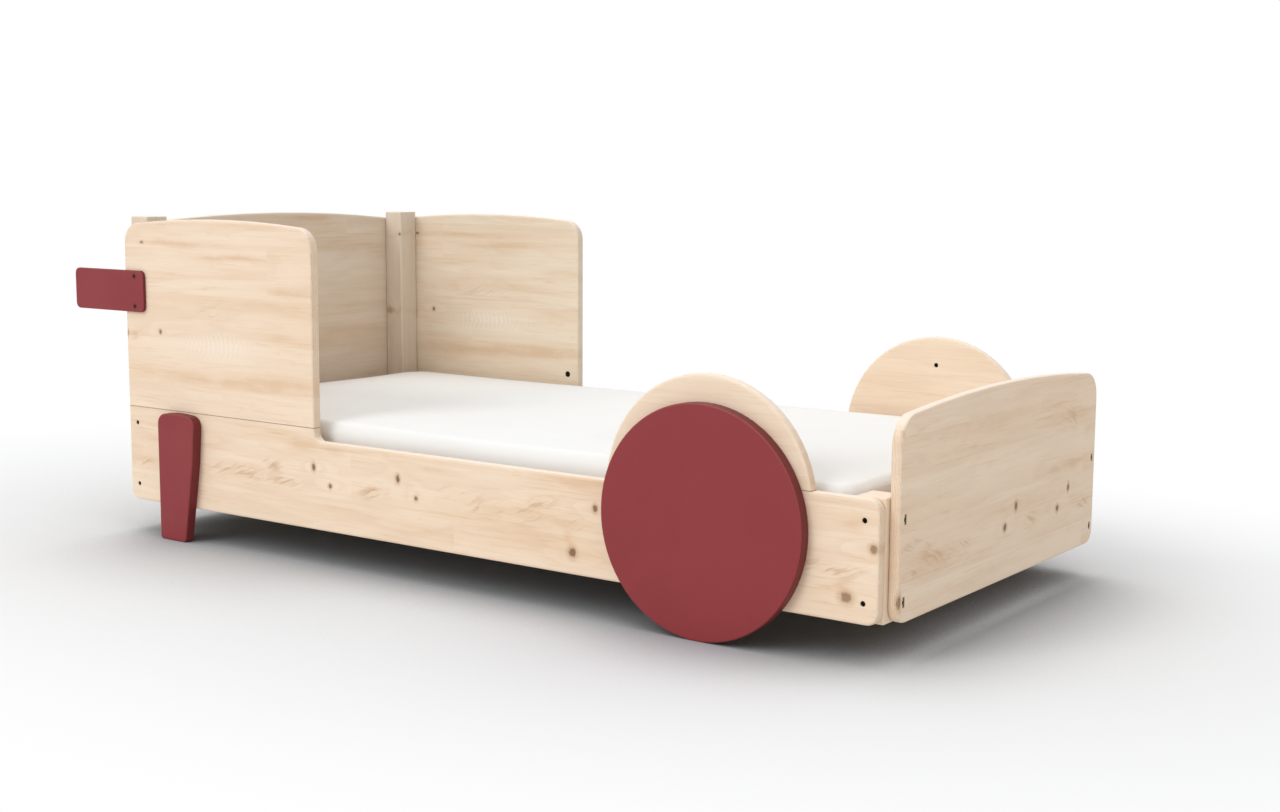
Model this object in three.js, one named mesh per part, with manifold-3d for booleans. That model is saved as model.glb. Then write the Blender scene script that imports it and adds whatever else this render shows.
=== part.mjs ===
// A low single bed for a child, shaped like a vehicle: pine boards between four
// square posts, red wheel discs and legs that carry it, and a mattress on slats.
// Millimetres, +Z up. +X runs from the head end to the foot end, Y = 0 is the
// middle of the bed and the floor is Z = 0.
import * as THREE from 'three';
import * as BufferGeometryUtils from 'three/addons/utils/BufferGeometryUtils.js';
import Module from 'manifold-3d';

const wasm = await Module();
wasm.setup();

// Mattress and the well it lies in
const mattressLength = 1900;
const mattressWidth = 900;
const mattressThickness = 130;
const mattressAboveRail = 14;
const mattressCrown = 9;
const mattressDrawIn = 6;
const mattressCornerRadius = 70;
const mattressEndClearance = 4;
const mattressSideClearance = 9;
const restGap = 0.3;

// Boards and posts
const boardThickness = 22;
const boardArris = 5;
const postSize = 60;
const postArris = 4;
const postEndArris = 2.5;
const railBottom = 78;
const railHeight = 226;
const railCornerRadius = 25;
const entryDrop = 28;
const entryFillet = 20;
const jointGap = 0.3;

// Head side panels, standing on the rails
const panelLength = 634;
const panelRise = 449;
const panelArchRadius = 3000;
const panelCornerRadius = 48;

// Headboard and footboard, over the ends of the posts
const endBoardInset = 33;
const endBoardArchRadius = 4400;
const endBoardTopRadius = 55;
const endBoardFootRadius = 30;
const headboardAbovePanels = 5;
const footboardAboveRail = 163;
const headPostAbovePanels = 2;

// Wheel discs, mudguards and legs
const wheelRadius = 223;
const wheelFromFoot = 364;
const wheelArris = 3;
const wheelSides = 96;
const redBoardThickness = 25;
const guardRadius = 229;
const guardCentreDrop = 35;
const guardStepFromCentre = 0;
const legFromHead = 134;
const legFootWidth = 91;
const legKneeWidth = 121;
const legShoulderWidth = 128;
const legKneeHeight = 190;
const legArchRadius = 300;
const legCornerRadius = 25;
const legFootRadius = 9;
const legTopBelowRail = 2;
const legArris = 3.5;

// Red bar across the head corner of each side panel
const barLength = 255;
const barHeight = 98;
const barThickness = 8;
const barOverhang = 179;
const barCentreAboveRail = 276;
const barCornerRadius = 14;
const barArris = 1.5;

// Slatted base
const ledgerHeight = 35;
const ledgerDepth = 25;
const slatCount = 14;
const slatWidth = 70;
const slatThickness = 18;
const slatEndClearance = 3;
const slatEndInset = 16;
const slatArris = 3;

// Sunk socket-head bolts that hold the boards to the posts
const boltShankDiameter = 6;
const boltHeadDiameter = 10;
const boltHeadHeight = 5;
const boltSocket = 5;
const boltSocketDepth = 3;
const boltSunk = 2;
const boltIntoPost = 20;
const holeClearance = 0.5;
const holeEndClearance = 1;
const holeMouth = 1;
const boltLowAboveRailBottom = 39;
const boltHighAboveRailBottom = 187;
const headboardBoltBelowTop = 120;
const holeSides = 12;

// Countersunk screws of the red bars, cam fittings of the side panels
const screwHeadDiameter = 8;
const screwHeadHeight = 3;
const screwShankDiameter = 4;
const screwIntoPost = 16;
const barScrewFromHead = 44;
const barScrewSpacing = 71;
const camDiameter = 15;
const camThickness = 12;
const camEdgeDistance = 34;
const camEndDistance = 35;
const camSlotWidth = 2.5;
const camSlotDepth = 2;
const camSides = 20;
const wheelBoltBelowTop = 12;
const wheelBoltIntoWheel = 15;

// Everything below follows from the sizes above
const arcTolerance = 0.3;
const wellWidth = mattressWidth + 2 * mattressSideClearance;
const wellLength = mattressLength + 2 * mattressEndClearance;
const railLength = wellLength + 2 * postSize;
const railTop = railBottom + railHeight;
const entryTop = railTop - entryDrop;
const outerHalfWidth = wellWidth / 2 + boardThickness;
const postCentreY = wellWidth / 2 - postSize / 2;
const panelTop = railTop + panelRise;
const headboardTop = panelTop + headboardAbovePanels;
const footboardTop = railTop + footboardAboveRail;
const headPostTop = panelTop + headPostAbovePanels;
const wheelX = railLength - wheelFromFoot;
const guardCentreZ = railTop - guardCentreDrop;
const endBoardHalfWidth = outerHalfWidth - endBoardInset;
const mattressBottom = railTop + mattressAboveRail - mattressThickness;
const slatTop = mattressBottom - restGap;
const ledgerTop = slatTop - slatThickness;
const boltHeights = [railBottom + boltLowAboveRailBottom, railBottom + boltHighAboveRailBottom];
const sides = { near: -1, far: 1 };

const pine = { color: 0xeedabe, roughness: 0.55, metalness: 0 };
const redPaint = { color: 0x8f3c3f, roughness: 0.45, metalness: 0 };
const blackSteel = { color: 0x2a2522, roughness: 0.4, metalness: 0.9 };
const whiteCover = { color: 0xf2f1ee, roughness: 0.9, metalness: 0 };

const bed = new THREE.Group();
const originX = (railLength + boardThickness - barOverhang) / 2;
bed.position.set(-originX, 0, 0);

function addPiece(name, geometry, finish, position = [0, 0, 0]) {
  const mesh = new THREE.Mesh(geometry, new THREE.MeshStandardMaterial(finish));
  mesh.name = name;
  mesh.position.set(...position);
  bed.add(mesh);
  return mesh;
}

// Solids for cutting and joining
function toSolid(geometry) {
  const plain = geometry.clone();
  plain.deleteAttribute('normal');
  plain.deleteAttribute('uv');
  const merged = BufferGeometryUtils.mergeVertices(plain, 1e-4);
  const vertProperties = new Float32Array(merged.attributes.position.array);
  const triVerts = new Uint32Array(merged.index.array);
  return new wasm.Manifold(new wasm.Mesh({ numProp: 3, vertProperties, triVerts }));
}

function toGeometry(solid) {
  const mesh = solid.getMesh();
  const geometry = new THREE.BufferGeometry();
  const places = new Float32Array(mesh.vertProperties);
  geometry.setAttribute('position', new THREE.BufferAttribute(places, 3));
  geometry.setIndex(new THREE.BufferAttribute(new Uint32Array(mesh.triVerts), 1));
  geometry.computeVertexNormals();
  return geometry;
}

// An outline of straight stretches and arcs, with no more points than its arcs need
class Outline {
  constructor() {
    this.points = [];
  }

  to(x, y) {
    this.points.push(new THREE.Vector2(x, y));
    return this;
  }

  arc(x, y, radius, from, to) {
    const step = 2 * Math.acos(Math.max(0, 1 - arcTolerance / radius));
    const count = Math.max(3, Math.ceil(Math.abs(to - from) / step));
    for (let i = 0; i <= count; i += 1) {
      const angle = from + (to - from) * i / count;
      this.to(x + radius * Math.cos(angle), y + radius * Math.sin(angle));
    }
    return this;
  }

  shape() {
    const kept = this.points.filter((point, i, all) => {
      const next = all[(i + 1) % all.length];
      return point.distanceTo(next) > 1e-3;
    });
    return new THREE.Shape(kept);
  }
}

const quarter = Math.PI / 2;

// The two round corners and the shallow arch between them, drawn from right to left
function archedTop(outline, middle, halfWidth, top, archRadius, cornerRadius) {
  const archY = top - archRadius;
  const run = halfWidth - cornerRadius;
  const cornerY = archY + Math.sqrt((archRadius - cornerRadius) ** 2 - run ** 2);
  const angle = Math.atan2(cornerY - archY, run);
  outline.arc(middle + run, cornerY, cornerRadius, 0, angle);
  outline.arc(middle, archY, archRadius, angle, Math.PI - angle);
  outline.arc(middle - run, cornerY, cornerRadius, Math.PI - angle, Math.PI);
  return outline;
}

// A board with rounded arrises, its thickness centred on z = 0
function board(shape, thickness, arris, bevelSegments = 2) {
  const geometry = new THREE.ExtrudeGeometry(shape, {
    depth: thickness - 2 * arris,
    steps: 1,
    bevelEnabled: true,
    bevelThickness: arris,
    bevelSize: arris,
    bevelOffset: -arris,
    bevelSegments,
  });
  geometry.translate(0, 0, arris - thickness / 2);
  return geometry;
}

// Stands a drawn board up: drawing x along the bed, drawing y up, thickness across
function standAlong(geometry) {
  return geometry.rotateX(quarter);
}

// Stands a drawn board up: drawing x across the bed, drawing y up, thickness along
function standAcross(geometry) {
  return geometry.rotateX(quarter).rotateZ(quarter);
}

function roundedRectangle(width, height, radius) {
  const x = width / 2 - radius;
  const y = height / 2 - radius;
  return new Outline()
    .arc(x, -y, radius, -quarter, 0)
    .arc(x, y, radius, 0, quarter)
    .arc(-x, y, radius, quarter, Math.PI)
    .arc(-x, -y, radius, Math.PI, Math.PI + quarter)
    .shape();
}

// A straight round bar along +Y from y = 0
function roundBar(diameter, length, count = holeSides) {
  return new THREE.CylinderGeometry(diameter / 2, diameter / 2, length, count).translate(0, length / 2, 0);
}

function blockBetween(low, high) {
  const size = high.map((value, i) => value - low[i]);
  const centre = high.map((value, i) => (value + low[i]) / 2);
  return new THREE.BoxGeometry(...size).translate(...centre);
}

// One piece of wood from rail to panel and mudguard, drawn whole so that its
// outer line runs through, and then sawn apart along the joints
const guardRight = Math.asin((railTop - guardCentreZ) / guardRadius);
const guardLeft = Math.PI - Math.asin((entryTop - guardCentreZ) / guardRadius);

function sideOutline() {
  const outline = new Outline();
  const r = railCornerRadius;
  outline.arc(r, railBottom + r, r, Math.PI, Math.PI + quarter);
  outline.arc(railLength - r, railBottom + r, r, -quarter, 0);
  outline.arc(railLength - r, railTop - r, r, 0, quarter);
  outline.arc(wheelX, guardCentreZ, guardRadius, guardRight, guardLeft);
  outline.arc(panelLength + entryFillet, entryTop + entryFillet, entryFillet, -quarter, -Math.PI);
  archedTop(outline, panelLength / 2, panelLength / 2, panelTop, panelArchRadius, panelCornerRadius);
  return outline.shape();
}

const sideBoard = toSolid(standAlong(board(sideOutline(), boardThickness, boardArris)));
const cutDepth = boardThickness;
const stepX = wheelX + guardStepFromCentre;
const guardReach = guardRadius + boardThickness;
const panelRegion = toSolid(blockBetween(
  [-boardThickness, -cutDepth, railTop],
  [panelLength + boardThickness, cutDepth, panelTop + boardThickness],
));
const guardRegion = toSolid(blockBetween(
  [wheelX - guardReach, -cutDepth, entryTop],
  [stepX, cutDepth, guardCentreZ + guardReach],
)).add(toSolid(blockBetween(
  [stepX, -cutDepth, railTop],
  [wheelX + guardReach, cutDepth, guardCentreZ + guardReach],
)));
const sawCut = toSolid(blockBetween(
  [-boardThickness, -cutDepth, railTop - jointGap],
  [panelLength + boardThickness, cutDepth, railTop],
)).add(toSolid(blockBetween(
  [wheelX + guardRadius * Math.cos(guardLeft) - jointGap, -cutDepth, entryTop - jointGap],
  [stepX + jointGap, cutDepth, entryTop],
))).add(toSolid(blockBetween(
  [stepX, -cutDepth, entryTop - jointGap],
  [stepX + jointGap, cutDepth, railTop],
))).add(toSolid(blockBetween(
  [stepX, -cutDepth, railTop - jointGap],
  [wheelX + guardRadius * Math.cos(guardRight) + jointGap, cutDepth, railTop],
)));

const railPart = sideBoard.subtract(panelRegion).subtract(guardRegion).subtract(sawCut);
const panelPart = sideBoard.intersect(panelRegion);
const guardPart = sideBoard.intersect(guardRegion);

// A stepped hole from an outer face: room for a head, then room for a shank
function boltHole(length) {
  const mouth = roundBar(boltHeadDiameter + holeClearance, boltSunk + boltHeadHeight + holeMouth);
  const bore = roundBar(boltShankDiameter + holeClearance, length);
  return toSolid(mouth.translate(0, -holeMouth, 0)).add(toSolid(bore));
}

function socketBolt(length) {
  const head = roundBar(boltHeadDiameter, boltHeadHeight);
  const shank = roundBar(boltShankDiameter, length - boltSunk);
  const socketReach = boltSocket / Math.sqrt(3);
  const socket = new THREE.CylinderGeometry(socketReach, socketReach, 2 * boltSocketDepth, 6);
  return toGeometry(toSolid(head).add(toSolid(shank)).subtract(toSolid(socket)));
}

// Places a piece drawn along +Y at a point, pointing along one of the bed's axes
function aimed(geometry, direction, at) {
  const turn = new THREE.Quaternion().setFromUnitVectors(
    new THREE.Vector3(0, 1, 0),
    new THREE.Vector3(...direction),
  );
  return geometry.clone().applyQuaternion(turn).translate(...at);
}

const boltLength = boardThickness + boltIntoPost;
const boltHoleTool = toGeometry(boltHole(boltLength + holeEndClearance));
const boltGeometry = socketBolt(boltLength);

// Every bolt goes in from an outer face: a place on that face and a direction inwards
const railBolts = [];
for (const [side, sign] of Object.entries(sides)) {
  for (const [end, x] of [['head', postSize / 2], ['foot', railLength - postSize / 2]]) {
    boltHeights.forEach((z, i) => {
      const level = i === 0 ? 'lower' : 'upper';
      railBolts.push({
        name: `rail_bolt_${side}_${end}_${level}`,
        side,
        end,
        at: [x, sign * outerHalfWidth, z],
        direction: [0, -sign, 0],
      });
    });
  }
}
const endBolts = [];
for (const [end, x, along] of [['head', -boardThickness, 1], ['foot', railLength + boardThickness, -1]]) {
  const highest = end === 'head' ? headboardTop - headboardBoltBelowTop : boltHeights[1];
  for (const [side, sign] of Object.entries(sides)) {
    [boltHeights[0], highest].forEach((z, i) => {
      const level = i === 0 ? 'lower' : 'upper';
      endBolts.push({
        name: `${end}board_bolt_${side}_${level}`,
        side,
        end,
        at: [x, sign * postCentreY, z],
        direction: [along, 0, 0],
      });
    });
  }
}
for (const bolt of [...railBolts, ...endBolts]) {
  bolt.tool = toSolid(aimed(boltHoleTool, bolt.direction, bolt.at));
}

// Screws of the red bars: through bar and panel into the head post
const screwStart = outerHalfWidth + barThickness;
const screwLength = barThickness + boardThickness + screwIntoPost;
const barMiddleZ = railTop + barCentreAboveRail;
const barScrews = [];
for (const [side, sign] of Object.entries(sides)) {
  [['lower', -1], ['upper', 1]].forEach(([level, up]) => {
    barScrews.push({
      name: `bar_screw_${side}_${level}`,
      side,
      at: [barScrewFromHead, sign * screwStart, barMiddleZ + up * barScrewSpacing / 2],
      direction: [0, -sign, 0],
    });
  });
}

function screwProfile(growth) {
  const head = screwHeadDiameter / 2 + growth;
  const shank = screwShankDiameter / 2 + growth;
  const end = screwLength + growth;
  const points = [[0, 0], [head, 0], [shank, screwHeadHeight], [shank, end], [0, end]];
  return new THREE.LatheGeometry(points.map(([x, y]) => new THREE.Vector2(x, y)), holeSides);
}

const screwGeometry = screwProfile(0);
const screwHoleGeometry = screwProfile(holeClearance / 2);
for (const screw of barScrews) {
  const outwards = screw.direction.map((value) => -value);
  const mouth = aimed(roundBar(screwHeadDiameter + holeClearance, holeMouth), outwards, screw.at);
  screw.tool = toSolid(aimed(screwHoleGeometry, screw.direction, screw.at)).add(toSolid(mouth));
}

// The bolt that ties each mudguard to its wheel disc, put in from inside the bed
const wheelBoltLength = boardThickness + wheelBoltIntoWheel;
const wheelBoltGeometry = socketBolt(wheelBoltLength);
const wheelBoltZ = 2 * wheelRadius - wheelBoltBelowTop;
const wheelBolts = Object.entries(sides).map(([side, sign]) => ({
  name: `wheel_bolt_${side}`,
  side,
  at: [wheelX, sign * wellWidth / 2, wheelBoltZ],
  direction: [0, sign, 0],
}));
const wheelBoltHole = toGeometry(boltHole(wheelBoltLength + holeEndClearance));
for (const bolt of wheelBolts) {
  bolt.tool = toSolid(aimed(wheelBoltHole, bolt.direction, bolt.at));
}

function cutBy(solid, tools) {
  return tools.reduce((rest, item) => rest.subtract(item.tool), solid);
}

// Side boards
const camX = panelLength - camEndDistance;
const camZ = railTop + camEdgeDistance;
const camHole = roundBar(camDiameter + holeClearance, camThickness + holeEndClearance + holeMouth, camSides)
  .translate(0, -holeMouth, 0);
const camSlot = blockBetween(
  [-camDiameter, -camSlotDepth, -camSlotWidth / 2],
  [camDiameter, camSlotDepth, camSlotWidth / 2],
);
const camBlank = toSolid(roundBar(camDiameter, camThickness, camSides));
const camGeometry = toGeometry(camBlank.subtract(toSolid(camSlot)));
for (const [side, sign] of Object.entries(sides)) {
  const middleY = sign * (outerHalfWidth - boardThickness / 2);
  const inPlace = (solid) => toSolid(toGeometry(solid).translate(0, middleY, 0));
  const own = (items) => items.filter((item) => item.side === side);

  const rail = cutBy(inPlace(railPart), own(railBolts));
  addPiece(`side_rail_${side}`, toGeometry(rail), pine);

  const camPlace = [camX, sign * wellWidth / 2, camZ];
  const panel = cutBy(inPlace(panelPart), own(barScrews))
    .subtract(toSolid(aimed(camHole, [0, sign, 0], camPlace)));
  addPiece(`head_side_panel_${side}`, toGeometry(panel), pine);

  const guard = cutBy(inPlace(guardPart), own(wheelBolts));
  addPiece(`mudguard_${side}`, toGeometry(guard), pine);

  addPiece(`panel_cam_${side}`, aimed(camGeometry, [0, sign, 0], camPlace), blackSteel);
}

// Posts, inside the corners
function post(top) {
  const height = top - railBottom;
  const geometry = board(roundedRectangle(postSize, postSize, postArris), height, postEndArris);
  return geometry.translate(0, 0, railBottom + height / 2);
}
for (const [side, sign] of Object.entries(sides)) {
  const posts = [['head', postSize / 2, headPostTop], ['foot', railLength - postSize / 2, railTop]];
  for (const [end, x, top] of posts) {
    const blank = toSolid(post(top).translate(x, sign * postCentreY, 0));
    const tools = [...railBolts, ...endBolts].filter((bolt) => bolt.side === side && bolt.end === end);
    if (end === 'head') {
      tools.push(...barScrews.filter((screw) => screw.side === side));
    }
    addPiece(`${end}_post_${side}`, toGeometry(cutBy(blank, tools)), pine);
  }
}

// Headboard and footboard
for (const [end, top, x] of [
  ['head', headboardTop, -boardThickness / 2],
  ['foot', footboardTop, railLength + boardThickness / 2],
]) {
  const outline = new Outline();
  const r = endBoardFootRadius;
  outline.arc(r - endBoardHalfWidth, railBottom + r, r, Math.PI, Math.PI + quarter);
  outline.arc(endBoardHalfWidth - r, railBottom + r, r, -quarter, 0);
  archedTop(outline, 0, endBoardHalfWidth, top, endBoardArchRadius, endBoardTopRadius);
  const blank = standAcross(board(outline.shape(), boardThickness, boardArris)).translate(x, 0, 0);
  const cut = cutBy(toSolid(blank), endBolts.filter((bolt) => bolt.end === end));
  addPiece(`${end}board`, toGeometry(cut), pine);
}

// Wheel discs: each stands on one flat facet and is centred on its mudguard
function wheelShape() {
  const reach = wheelRadius / Math.cos(Math.PI / wheelSides);
  const points = [];
  for (let i = 0; i < wheelSides; i += 1) {
    const angle = -quarter + (i + 0.5) * 2 * Math.PI / wheelSides;
    points.push(new THREE.Vector2(reach * Math.cos(angle), reach * Math.sin(angle)));
  }
  return new THREE.Shape(points);
}

// Legs: a straight back, a front that draws in below the knee, a slightly arched top
function legShape() {
  const top = railTop - legTopBelowRail;
  const middle = legShoulderWidth / 2;
  const outline = new Outline();
  outline.arc(legFootRadius, legFootRadius, legFootRadius, Math.PI, Math.PI + quarter);
  outline.arc(legFootWidth - legFootRadius, legFootRadius, legFootRadius, -quarter, 0);
  outline.to(legKneeWidth, legKneeHeight);
  archedTop(outline, middle, legShoulderWidth / 2, top, legArchRadius, legCornerRadius);
  return outline.shape();
}

for (const [side, sign] of Object.entries(sides)) {
  const redMiddleY = sign * (outerHalfWidth + redBoardThickness / 2);
  const disc = standAlong(board(wheelShape(), redBoardThickness, wheelArris));
  const blankWheel = toSolid(disc.translate(wheelX, redMiddleY, wheelRadius));
  const wheel = cutBy(blankWheel, wheelBolts.filter((bolt) => bolt.side === side));
  addPiece(`wheel_${side}`, toGeometry(wheel), redPaint);

  const leg = standAlong(board(legShape(), redBoardThickness, legArris));
  addPiece(`leg_${side}`, leg, redPaint, [legFromHead, redMiddleY, 0]);

  const barMiddle = [barLength / 2 - barOverhang, sign * (outerHalfWidth + barThickness / 2), barMiddleZ];
  const barShape = roundedRectangle(barLength, barHeight, barCornerRadius);
  const blank = standAlong(board(barShape, barThickness, barArris));
  const bar = cutBy(toSolid(blank.translate(...barMiddle)), barScrews.filter((screw) => screw.side === side));
  addPiece(`red_bar_${side}`, toGeometry(bar), redPaint);
}

// Slatted base: a ledger along each rail, slats across
function rod(profile, length) {
  const geometry = new THREE.ExtrudeGeometry(profile, { depth: length, bevelEnabled: false });
  return geometry.translate(0, 0, -length / 2);
}
for (const [side, sign] of Object.entries(sides)) {
  const profile = roundedRectangle(ledgerHeight, ledgerDepth, slatArris);
  const ledger = rod(profile, wellLength).rotateY(quarter);
  const y = sign * (wellWidth / 2 - ledgerDepth / 2);
  addPiece(`slat_ledger_${side}`, ledger, pine, [railLength / 2, y, ledgerTop - ledgerHeight / 2]);
}
const slatRun = wellLength - slatWidth - 2 * slatEndInset;
for (let i = 0; i < slatCount; i += 1) {
  const slat = rod(roundedRectangle(slatWidth, slatThickness, slatArris), wellWidth - 2 * slatEndClearance);
  const x = postSize + slatEndInset + slatWidth / 2 + slatRun * i / (slatCount - 1);
  const number = String(i + 1).padStart(2, '0');
  addPiece(`slat_${number}`, slat.rotateX(quarter), pine, [x, 0, slatTop - slatThickness / 2]);
}

// Fasteners
for (const bolt of [...railBolts, ...endBolts]) {
  const at = bolt.at.map((value, i) => value + bolt.direction[i] * boltSunk);
  addPiece(bolt.name, aimed(boltGeometry, bolt.direction, at), blackSteel);
}
for (const bolt of wheelBolts) {
  const at = bolt.at.map((value, i) => value + bolt.direction[i] * boltSunk);
  addPiece(bolt.name, aimed(wheelBoltGeometry, bolt.direction, at), blackSteel);
}
for (const screw of barScrews) {
  addPiece(screw.name, aimed(screwGeometry, screw.direction, screw.at), blackSteel);
}

// Mattress: rings from the flat underside up the drawn-in sides and over the crown.
// A ring is a rounded rectangle whose straight sides bow inwards by a few millimetres.
const crownReach = mattressWidth / 3;
const mattressRings = [
  { inset: crownReach * 0.7, side: 0, crown: 0, drawIn: 0 },
  { inset: 14, side: 0, crown: 0, drawIn: 0.3 },
  { inset: 4, side: 0.06, crown: 0, drawIn: 0.6 },
  { inset: 0, side: 0.2, crown: 0, drawIn: 0.8 },
  { inset: 1, side: 0.5, crown: 0, drawIn: 1.3 },
  { inset: 0, side: 0.8, crown: 0, drawIn: 0.8 },
  { inset: 3, side: 0.93, crown: 0, drawIn: 0.6 },
  { inset: 12, side: 1, crown: 0.1, drawIn: 0.4 },
  { inset: crownReach * 0.25, side: 1, crown: 0.5, drawIn: 0.2 },
  { inset: crownReach * 0.6, side: 1, crown: 0.85, drawIn: 0 },
  { inset: crownReach, side: 1, crown: 0.98, drawIn: 0 },
];
const mattressLeastRadius = 20;
const mattressSteps = { corner: 6, long: 14, short: 8 };

function mattressRing(ring) {
  const halfLength = mattressLength / 2 - ring.inset;
  const halfWidth = mattressWidth / 2 - ring.inset;
  const radius = Math.max(mattressCornerRadius - ring.inset, mattressLeastRadius);
  const bow = ring.drawIn * mattressDrawIn;
  const corners = [[1, -1], [1, 1], [-1, 1], [-1, -1]];
  const points = [];
  corners.forEach(([sx, sy], i) => {
    const centre = new THREE.Vector2(sx * (halfLength - radius), sy * (halfWidth - radius));
    const start = -quarter + i * quarter;
    for (let k = 0; k < mattressSteps.corner; k += 1) {
      const angle = start + quarter * k / mattressSteps.corner;
      const outwards = new THREE.Vector2(Math.cos(angle), Math.sin(angle));
      points.push(centre.clone().addScaledVector(outwards, radius));
    }
    const [nx, ny] = corners[(i + 1) % 4];
    const onward = new THREE.Vector2(nx * (halfLength - radius), ny * (halfWidth - radius));
    const out = new THREE.Vector2(Math.cos(start + quarter), Math.sin(start + quarter));
    const count = i % 2 === 0 ? mattressSteps.short : mattressSteps.long;
    for (let k = 0; k < count; k += 1) {
      const share = k / count;
      const inward = bow * Math.sin(Math.PI * share) ** 2;
      points.push(centre.clone().lerp(onward, share).addScaledVector(out, radius - inward));
    }
  });
  return points;
}

function mattressGeometry() {
  const rings = mattressRings.map(mattressRing);
  const count = rings[0].length;
  const positions = [0, 0, 0];
  rings.forEach((ring, i) => {
    const { side, crown } = mattressRings[i];
    const height = side * (mattressThickness - mattressCrown) + crown * mattressCrown;
    for (const point of ring) {
      positions.push(point.x, point.y, height);
    }
  });
  positions.push(0, 0, mattressThickness);
  const index = [];
  const at = (ring, k) => 1 + ring * count + (k % count);
  for (let k = 0; k < count; k += 1) {
    index.push(0, at(0, k + 1), at(0, k));
    for (let i = 0; i + 1 < rings.length; i += 1) {
      index.push(at(i, k), at(i, k + 1), at(i + 1, k + 1));
      index.push(at(i, k), at(i + 1, k + 1), at(i + 1, k));
    }
    index.push(positions.length / 3 - 1, at(rings.length - 1, k), at(rings.length - 1, k + 1));
  }
  const geometry = new THREE.BufferGeometry();
  geometry.setAttribute('position', new THREE.BufferAttribute(new Float32Array(positions), 3));
  geometry.setIndex(index);
  geometry.computeVertexNormals();
  return geometry;
}
addPiece('mattress', mattressGeometry(), whiteCover, [railLength / 2, 0, mattressBottom]);

export default bed;
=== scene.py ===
"""A low pine bed for a child, shaped like a vehicle, with red wheel discs and legs.

The rigid pieces are the frame's own nodes with procedural materials. The mattress is a
simulated cushion. Metres, +X from the head end to the foot end, -Y the side that faces
the camera, floor at Z = 0.
"""

import math

import bpy
from mathutils import Matrix, Vector


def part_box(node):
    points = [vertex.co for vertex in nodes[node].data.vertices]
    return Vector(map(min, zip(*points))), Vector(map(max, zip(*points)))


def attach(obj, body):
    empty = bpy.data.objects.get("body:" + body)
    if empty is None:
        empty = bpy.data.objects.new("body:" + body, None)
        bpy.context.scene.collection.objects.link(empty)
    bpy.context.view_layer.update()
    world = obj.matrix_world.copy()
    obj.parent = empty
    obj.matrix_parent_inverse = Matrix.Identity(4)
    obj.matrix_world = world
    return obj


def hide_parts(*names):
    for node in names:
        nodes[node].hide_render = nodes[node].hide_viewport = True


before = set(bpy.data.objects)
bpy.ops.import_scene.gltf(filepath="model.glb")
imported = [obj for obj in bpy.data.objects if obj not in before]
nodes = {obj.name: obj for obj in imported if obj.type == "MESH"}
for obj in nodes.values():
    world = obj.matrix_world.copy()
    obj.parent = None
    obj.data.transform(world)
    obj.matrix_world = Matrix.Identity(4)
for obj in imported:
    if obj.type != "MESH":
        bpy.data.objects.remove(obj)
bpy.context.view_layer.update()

X, Y, Z = 0, 1, 2
WHITE = (1, 1, 1, 1)

# Camera, fitted to the photograph's edges; its picture is 1280 x 812 pixels
PICTURE_WIDTH = 1280
FOCAL_PIXELS = 1731.3
SENSOR_WIDTH = 36
CAMERA_PLACE = (2.4774, -3.1011, 0.8537)
CAMERA_YAW = 0.6268
CAMERA_PITCH = 0.1314
CAMERA_ROLL = 0.0054
CAMERA_NEAREST = 0.05

# Lamps like large soft boxes: bearing and elevation of the light's source, spread, and the
# share of full light that they give to a surface square to them. Degrees; bearing 0 is +X
LAMPS = {
    "top_lamp": {"bearing": 135, "elevation": 68, "spread": 34, "share": 0.21},
    "side_lamp": {"bearing": 250, "elevation": 32, "spread": 34, "share": 0.34},
}
SKY_STRENGTH = 0.70

# Floor: white, fading to plain white far from the bed, and sooner beside it than at its
# ends. A painted shadow darkens it, and cools it a little, towards FLOOR_SHADE where things
# within FLOOR_SHADE_REACH hide the sky. The camera sees that; the bed gets its light from a
# floor of the colour FLOOR_BOUNCE
FLOOR_HALF = 40
FLOOR_FADE_START = 1.2
FLOOR_FADE_END = 2.8
FLOOR_FADE_SHAPE = (1.0, 1.6, 1.0)
FLOOR_WHITE = 0.83
FLOOR_SHADE = 0.18
FLOOR_SHADE_REACH = 1.0
FLOOR_SHADE_SAMPLES = 8
FLOOR_SHADE_COOLING = (1.05, 1.0, 0.95)
FLOOR_BOUNCE = (0.8, 0.8, 0.8, 1)


# Node trees

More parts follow.
